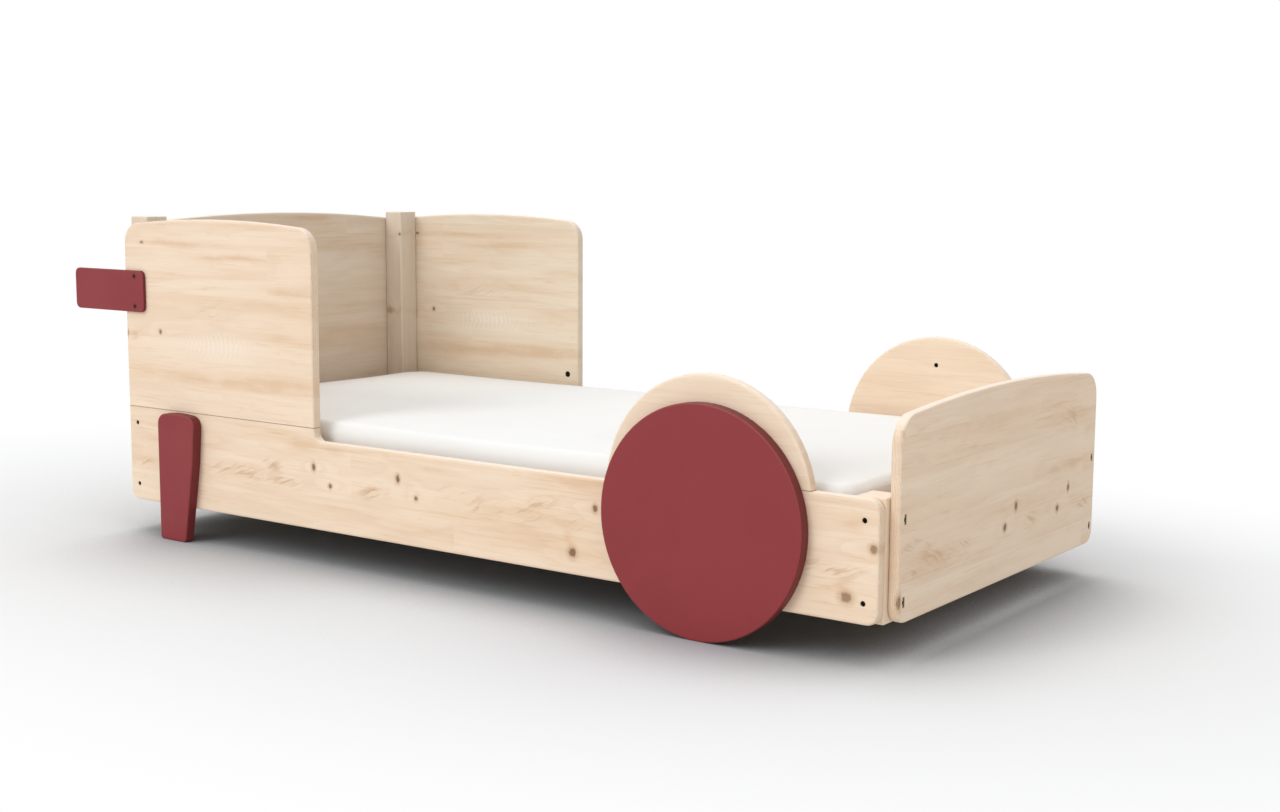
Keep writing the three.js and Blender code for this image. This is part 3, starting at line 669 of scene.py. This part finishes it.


# What the photo shows on each board, in metres along and across its grain.
# knots: (along, across, half length, half height, darkness). knot_depth: where the face with
# the knots lies, if they don't go through the board. stains, curls and arches: the same as
# knots with an amount at the end. slots round bolts, painted shade: the same without it. seams,
# where the board stands on the one below: (across, from, to). slant: which way the curls'
# strokes lean. tone: painted shade, a darker and cooler board where it stands in shade, and the
# far tone: the same for the far one only. flip: a place along the far board and the place in
# this list add up to it, so that the far board runs the other way.

BOARDS = {
    "side_rail": {
        "along": X, "across": Z, "seed": 3.1, "flip": 0.157,
        "knots": [
            (-0.305, 0.218, 0.0054, 0.0080, 0.95), (-0.254, 0.181, 0.0050, 0.0052, 0.9),
            (-0.051, 0.219, 0.0056, 0.0080, 0.95), (0.001, 0.183, 0.0048, 0.0050, 0.9),
            (0.474, 0.217, 0.0058, 0.0072, 0.9), (0.418, 0.123, 0.0088, 0.0094, 0.95),
            (1.029, 0.1235, 0.0110, 0.0090, 0.7), (1.082, 0.2165, 0.0075, 0.0078, 0.7),
        ],
        "stains": [
            (-0.335, 0.263, 0.05, 0.012, 0.6), (-0.24, 0.259, 0.035, 0.010, 0.6),
            (0.435, 0.264, 0.09, 0.012, 0.7), (0.082, 0.252, 0.05, 0.008, 0.3),
            (0.319, 0.134, 0.14, 0.018, 0.35), (1.0, 0.13, 0.07, 0.02, 0.3),
            (1.04, 0.255, 0.03, 0.012, 0.5), (-0.60, 0.12, 0.12, 0.012, 0.25),
            (0.414, 0.150, 0.012, 0.018, 0.4), (1.022, 0.148, 0.014, 0.014, 0.5),
        ],
        "curls": [
            (-0.891, 0.173, 0.03, 0.012, 0.9), (-0.575, 0.182, 0.075, 0.016, 0.8),
            (-0.490, 0.178, 0.07, 0.014, 0.6), (-0.440, 0.212, 0.030, 0.012, 1.1),
            (-0.385, 0.178, 0.036, 0.013, 1.2), (-0.125, 0.183, 0.036, 0.016, 1.4),
            (-0.018, 0.199, 0.03, 0.014, 0.4), (0.12, 0.207, 0.05, 0.010, 0.8),
            (0.20, 0.184, 0.06, 0.014, 1.2), (0.340, 0.210, 0.034, 0.013, 1.2),
            (0.405, 0.182, 0.038, 0.013, 1.4), (0.30, 0.184, 0.05, 0.014, 0.9),
            (0.99, 0.17, 0.05, 0.014, 1.1),
        ],
    },
    "head_side_panel": {
        "along": X, "across": Z, "seed": 7.4, "seams": [(0.304, -1, 0)],
        "far_tone": (0.95, 1.01, 1.05, 1),
        "knots": [
            (-0.870, 0.696, 0.0050, 0.0028, 0.8), (-0.811, 0.488, 0.0044, 0.0050, 0.9),
            (-0.932, 0.479, 0.0040, 0.0070, 0.5),
        ],
        "stains": [
            (-0.565, 0.667, 0.13, 0.008, 0.6), (-0.66, 0.384, 0.26, 0.018, 0.60),
            (-0.40, 0.395, 0.14, 0.016, 0.50), (-0.366, 0.600, 0.08, 0.012, 0.45),
            (-0.409, 0.495, 0.03, 0.010, 0.2), (-0.60, 0.56, 0.35, 0.016, 0.22),
            (-0.75, 0.695, 0.18, 0.007, 0.6), (-0.895, 0.476, 0.02, 0.012, 0.35),
            (-0.50, 0.74, 0.2, 0.008, 0.3),
        ],
        "curls": [(-0.895, 0.480, 0.025, 0.014, 0.5), (-0.64, 0.545, 0.09, 0.016, 0.45)],
        "arches": [(-0.610, 0.466, 0.135, 0.036, 1.0)],
    },
    "mudguard": {
        "along": X, "across": Z, "seed": 12.9, "knots": [],
        "seams": [(0.276, 0, 0.7285), (0.304, 0.7285, 1)],
    },
    "head_post": {
        "along": Z, "across": X, "seed": 1.7, "knot_depth": 0.399, "tone": (0.85, 0.91, 0.97, 1),
        "knots": [(0.694, -0.881, 0.0030, 0.0035, 0.9), (0.482, -0.922, 0.0062, 0.0090, 0.2)],
        "stains": [(0.692, -0.905, 0.006, 0.05, 0.4), (0.482, -0.905, 0.008, 0.03, 0.6)],
    },
    "foot_post": {"along": Z, "across": X, "seed": 5.2, "knots": []},
    "headboard": {
        "along": Y, "across": Z, "seed": 9.6, "tone": (0.88, 0.93, 0.99, 1),
        "knots": [
            (-0.21, 0.560, 0.005, 0.007, 0.8), (-0.05, 0.205, 0.008, 0.009, 0.9),
            (-0.33, 0.33, 0.005, 0.007, 0.8),
        ],
        "stains": [
            (0.2, 0.66, 0.3, 0.012, 0.3), (0.1, 0.42, 0.35, 0.02, 0.3),
            (0.12, 0.742, 0.05, 0.006, 0.9),
        ],
        "curls": [(-0.05, 0.23, 0.08, 0.015, 0.8), (0.06, 0.49, 0.05, 0.01, 0.6)],
    },
    "footboard": {
        "along": Y, "across": Z, "seed": 15.3, "knot_depth": 1.1145, "slant": -1,
        "knots": [
            (0.304, 0.218, 0.0055, 0.0080, 0.9), (0.041, 0.218, 0.0060, 0.0085, 1.0),
            (0.249, 0.182, 0.0066, 0.0066, 1.0), (-0.009, 0.183, 0.0070, 0.0070, 1.0),
            (-0.4455, 0.119, 0.0055, 0.0130, 0.8), (-0.4460, 0.422, 0.0050, 0.0070, 0.8),
        ],
        # Painted shade round the bolts
        "slot_shades": [
            (-0.429, 0.265, 0.0037, 0.0092), (-0.429, 0.117, 0.0037, 0.0098),
            (0.429, 0.265, 0.0034, 0.0080), (0.429, 0.117, 0.0034, 0.0080),
        ],
        "stains": [
            (0.32, 0.268, 0.05, 0.010, 0.9), (0.23, 0.264, 0.03, 0.007, 0.6),
            (-0.15, 0.40, 0.30, 0.014, 0.4), (-0.33, 0.168, 0.10, 0.022, 0.55),
            (0.30, 0.37, 0.12, 0.012, 0.4),
        ],
        "curls": [
            (-0.403, 0.214, 0.03, 0.010, 0.9), (-0.31, 0.178, 0.05, 0.014, 1.2),
            (-0.395, 0.164, 0.03, 0.008, 1.1), (-0.334, 0.201, 0.03, 0.010, 1.1),
            (0.117, 0.182, 0.03, 0.012, 1.2), (0.31, 0.365, 0.05, 0.020, 0.9),
            (-0.18, 0.178, 0.05, 0.010, 0.8), (0.385, 0.175, 0.03, 0.012, 1.1),
        ],
    },
    "slat_ledger": {"along": X, "across": Z, "seed": 21.8, "knots": []},
    "slat": {"along": Y, "across": X, "seed": 26.5, "knots": []},
}
FAR_SEED = 40.7


def board_kind(name):
    """The longest name in BOARDS that starts this node's name."""
    return max((kind for kind in BOARDS if name == kind or name.startswith(kind + "_")), key=len)


def pine_of(kind, far):
    """The pine of one kind of board, on the near or the far side."""
    board = BOARDS[kind]
    # A board's tone is painted shade, darker and cooler where the board stands in shade
    tone = board.get("tone", WHITE)
    if not far:
        return pine(f"pine_{kind}", board, board["seed"], False, tone)
    tone = board.get("far_tone", tone)
    return pine(f"pine_{kind}_far", board, board["seed"] + FAR_SEED, "flip" in board, tone)


def dress_nodes():
    """Each node's material by its slot, and one pine for each kind of board and side."""
    coats = {"red_painted_wood": red_paint(), "dark_steel": dark_steel()}
    pines = {}
    for name, node in nodes.items():
        slot = node.material_slots[0].material.name.split(".")[0]
        if slot == "pine":
            key = board_kind(name), name.endswith("_far")
            if key not in pines:
                pines[key] = pine_of(*key)
            node.material_slots[0].material = pines[key]
        elif slot in coats:
            node.material_slots[0].material = coats[slot]


# Mattress

MATTRESS_VOXEL = 0.014
MATTRESS_START_INSET = 0.002
MATTRESS_PRESSURE = 4
MATTRESS_QUALITY = 5
MATTRESS_FRAMES = 20
MATTRESS_MOST_MOVE = 0.006
MATTRESS_SIDE_SWELL = 0.004
MATTRESS_TOP_SWELL = 0.006

# Slow waves of the filling: their height, and radians for each metre
RIPPLE = 0.0012
RIPPLE_ALONG = 7.1
RIPPLE_ACROSS = 8.3
RIPPLE_START = 0.7
RIPPLE_BEND = 1.3
RIPPLE_BEND_ACROSS = 9.0


def apply_modifiers(obj):
    """The object's evaluated mesh becomes its own mesh."""
    graph = bpy.context.evaluated_depsgraph_get()
    mesh = bpy.data.meshes.new_from_object(obj.evaluated_get(graph))
    obj.modifiers.clear()
    obj.data = mesh


def swell(obj):
    """Cloth under pressure, with the distance that each point moves kept small."""
    start = [v.co.copy() for v in obj.data.vertices]
    cloth = obj.modifiers.new("cloth", "CLOTH").settings
    cloth.use_pressure = True
    cloth.uniform_pressure_force = MATTRESS_PRESSURE
    cloth.effector_weights.gravity = 0
    cloth.quality = MATTRESS_QUALITY
    scene = bpy.context.scene
    for step in range(1, MATTRESS_FRAMES + 1):
        scene.frame_set(step)
    apply_modifiers(obj)
    scene.frame_set(1)
    for vertex, old in zip(obj.data.vertices, start):
        move = vertex.co - old
        if move.length > MATTRESS_MOST_MOVE:
            vertex.co = old + move.normalized() * MATTRESS_MOST_MOVE


def ripple(x, y):
    """How much higher or lower the filling lies at a place."""
    along = math.sin(RIPPLE_ALONG * x + RIPPLE_BEND * math.sin(RIPPLE_BEND_ACROSS * y))
    return RIPPLE * along * math.cos(RIPPLE_ACROSS * y + RIPPLE_START)


def inset_skin(obj, low, high):
    """The skin, drawn in a little on all sides and remade of even small faces."""
    middle = (low + high) / 2
    shrink = [(side - 2 * MATTRESS_START_INSET) / side for side in high - low]
    for vertex in obj.data.vertices:
        offset = vertex.co - middle
        vertex.co = middle + Vector([a * b for a, b in zip(offset, shrink)])
    remesh = obj.modifiers.new("voxels", "REMESH")
    remesh.mode = "VOXEL"
    remesh.voxel_size = MATTRESS_VOXEL
    apply_modifiers(obj)


def keep_in_place(obj, low, high):
    """The top, made uneven and a little fuller, and all points kept near the CAD solid."""
    half_height = (high.z - low.z) / 2
    for vertex in obj.data.vertices:
        co = vertex.co
        share = min(1.0, max(0.0, (co.z - low.z) / half_height))
        co.z = max(co.z + share * ripple(co.x, co.y), low.z)
        co.z = min(co.z + share * MATTRESS_TOP_SWELL, high.z + MATTRESS_TOP_SWELL)
        co.x = min(max(co.x, low.x), high.x)
        co.y = min(max(co.y, low.y - MATTRESS_SIDE_SWELL), high.y + MATTRESS_SIDE_SWELL)


def make_mattress():
    low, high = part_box("mattress")
    body = bpy.data.objects.new("mattress_cushion", nodes["mattress"].data.copy())
    bpy.context.scene.collection.objects.link(body)
    inset_skin(body, low, high)
    swell(body)
    keep_in_place(body, low, high)
    finer = body.modifiers.new("finer", "SUBSURF")
    finer.levels = 1
    finer.render_levels = 1
    apply_modifiers(body)
    for face in body.data.polygons:
        face.use_smooth = True
    body.data.materials.clear()
    body.data.materials.append(cover_cloth())
    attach(body, "mattress")
    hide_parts("mattress")


# Camera, lamps and floor

def make_camera():
    data = bpy.data.cameras.new("camera")
    data.sensor_width = SENSOR_WIDTH
    data.lens = FOCAL_PIXELS / PICTURE_WIDTH * SENSOR_WIDTH
    data.clip_start = CAMERA_NEAREST
    camera = bpy.data.objects.new("camera", data)
    turn = Matrix.Rotation(CAMERA_YAW, 4, "Z")
    tilt = Matrix.Rotation(math.pi / 2 - CAMERA_PITCH, 4, "X")
    roll = Matrix.Rotation(CAMERA_ROLL, 4, "Z")
    camera.matrix_world = Matrix.Translation(CAMERA_PLACE) @ turn @ tilt @ roll
    bpy.context.scene.collection.objects.link(camera)
    bpy.context.scene.camera = camera


def make_lamp(name, lamp):
    data = bpy.data.lights.new(name, "SUN")
    data.energy = math.pi * lamp["share"]
    data.angle = math.radians(lamp["spread"])
    obj = bpy.data.objects.new(name, data)
    bearing, elevation = math.radians(lamp["bearing"]), math.radians(lamp["elevation"])
    level = math.cos(elevation)
    source = Vector((level * math.cos(bearing), level * math.sin(bearing), math.sin(elevation)))
    obj.matrix_world = (-source).to_track_quat("-Z", "Y").to_matrix().to_4x4()
    bpy.context.scene.collection.objects.link(obj)


def make_world():
    """Even light on the object; the camera, mirrors and glass see plain white."""
    world = bpy.data.worlds.new("studio")
    world.use_nodes = True
    bpy.context.scene.world = world
    tree = Tree(world.node_tree)
    background = next(n for n in world.node_tree.nodes if n.type == "BACKGROUND")
    rays = tree.node("ShaderNodeLightPath").outputs
    seen = tree.math("MAXIMUM", rays["Is Camera Ray"], rays["Is Glossy Ray"])
    seen = tree.math("MAXIMUM", seen, rays["Is Transmission Ray"])
    background.inputs["Color"].default_value = WHITE
    strength = tree.node("ShaderNodeMapRange", {"Value": seen, "To Min": SKY_STRENGTH, "To Max": 1})
    tree.put(background.inputs["Strength"], strength.outputs["Result"])


def floor_paint():
    """The floor's material: a painted shadow near the bed, and plain white further away."""
    material, tree, surface = new_material("floor")
    rays = tree.node("ShaderNodeLightPath").outputs
    seen = tree.math("MAXIMUM", rays["Is Camera Ray"], rays["Is Glossy Ray"])
    open_sky = tree.node("ShaderNodeAmbientOcclusion", {
        "Distance": FLOOR_SHADE_REACH,
    }, samples=FLOOR_SHADE_SAMPLES).outputs["AO"]
    # Painted shadow: the floor's colour darkens, and cools a little, where things close by hide the sky
    white = tree.ramp(open_sky, 0, 1, FLOOR_SHADE, FLOOR_WHITE)
    cool = [tree.math("POWER", white, power) for power in FLOOR_SHADE_COOLING]
    tree.put(surface["Base Color"], tree.mix(seen, FLOOR_BOUNCE, tree.join(*cool)))
    surface["Roughness"].default_value = 1
    surface["Specular IOR Level"].default_value = 0
    place = tree.node("ShaderNodeTexCoord").outputs["Object"]
    distance = tree.vector("LENGTH", tree.scaled(place, FLOOR_FADE_SHAPE))
    far = tree.ramp(distance, FLOOR_FADE_START, FLOOR_FADE_END)
    glow = tree.node("ShaderNodeEmission", {"Color": WHITE, "Strength": 1})
    shader = next(n for n in material.node_tree.nodes if n.type == "BSDF_PRINCIPLED")
    fade = tree.node("ShaderNodeMixShader", {
        0: tree.math("MULTIPLY", far, seen), 1: shader.outputs[0], 2: glow.outputs[0],
    })
    output = next(n for n in material.node_tree.nodes if n.type == "OUTPUT_MATERIAL")
    tree.put(output.inputs["Surface"], fade.outputs[0])
    return material


def make_floor():
    mesh = bpy.data.meshes.new("floor")
    corners = [(x * FLOOR_HALF, y * FLOOR_HALF, 0) for x, y in ((-1, -1), (1, -1), (1, 1), (-1, 1))]
    mesh.from_pydata(corners, [], [(0, 1, 2, 3)])
    floor = bpy.data.objects.new("floor", mesh)
    bpy.context.scene.collection.objects.link(floor)
    mesh.materials.append(floor_paint())


make_camera()
for lamp_name, lamp in LAMPS.items():
    make_lamp(lamp_name, lamp)
make_world()
make_floor()
dress_nodes()
make_mattress()

bpy.context.scene.view_settings.view_transform = "Standard"
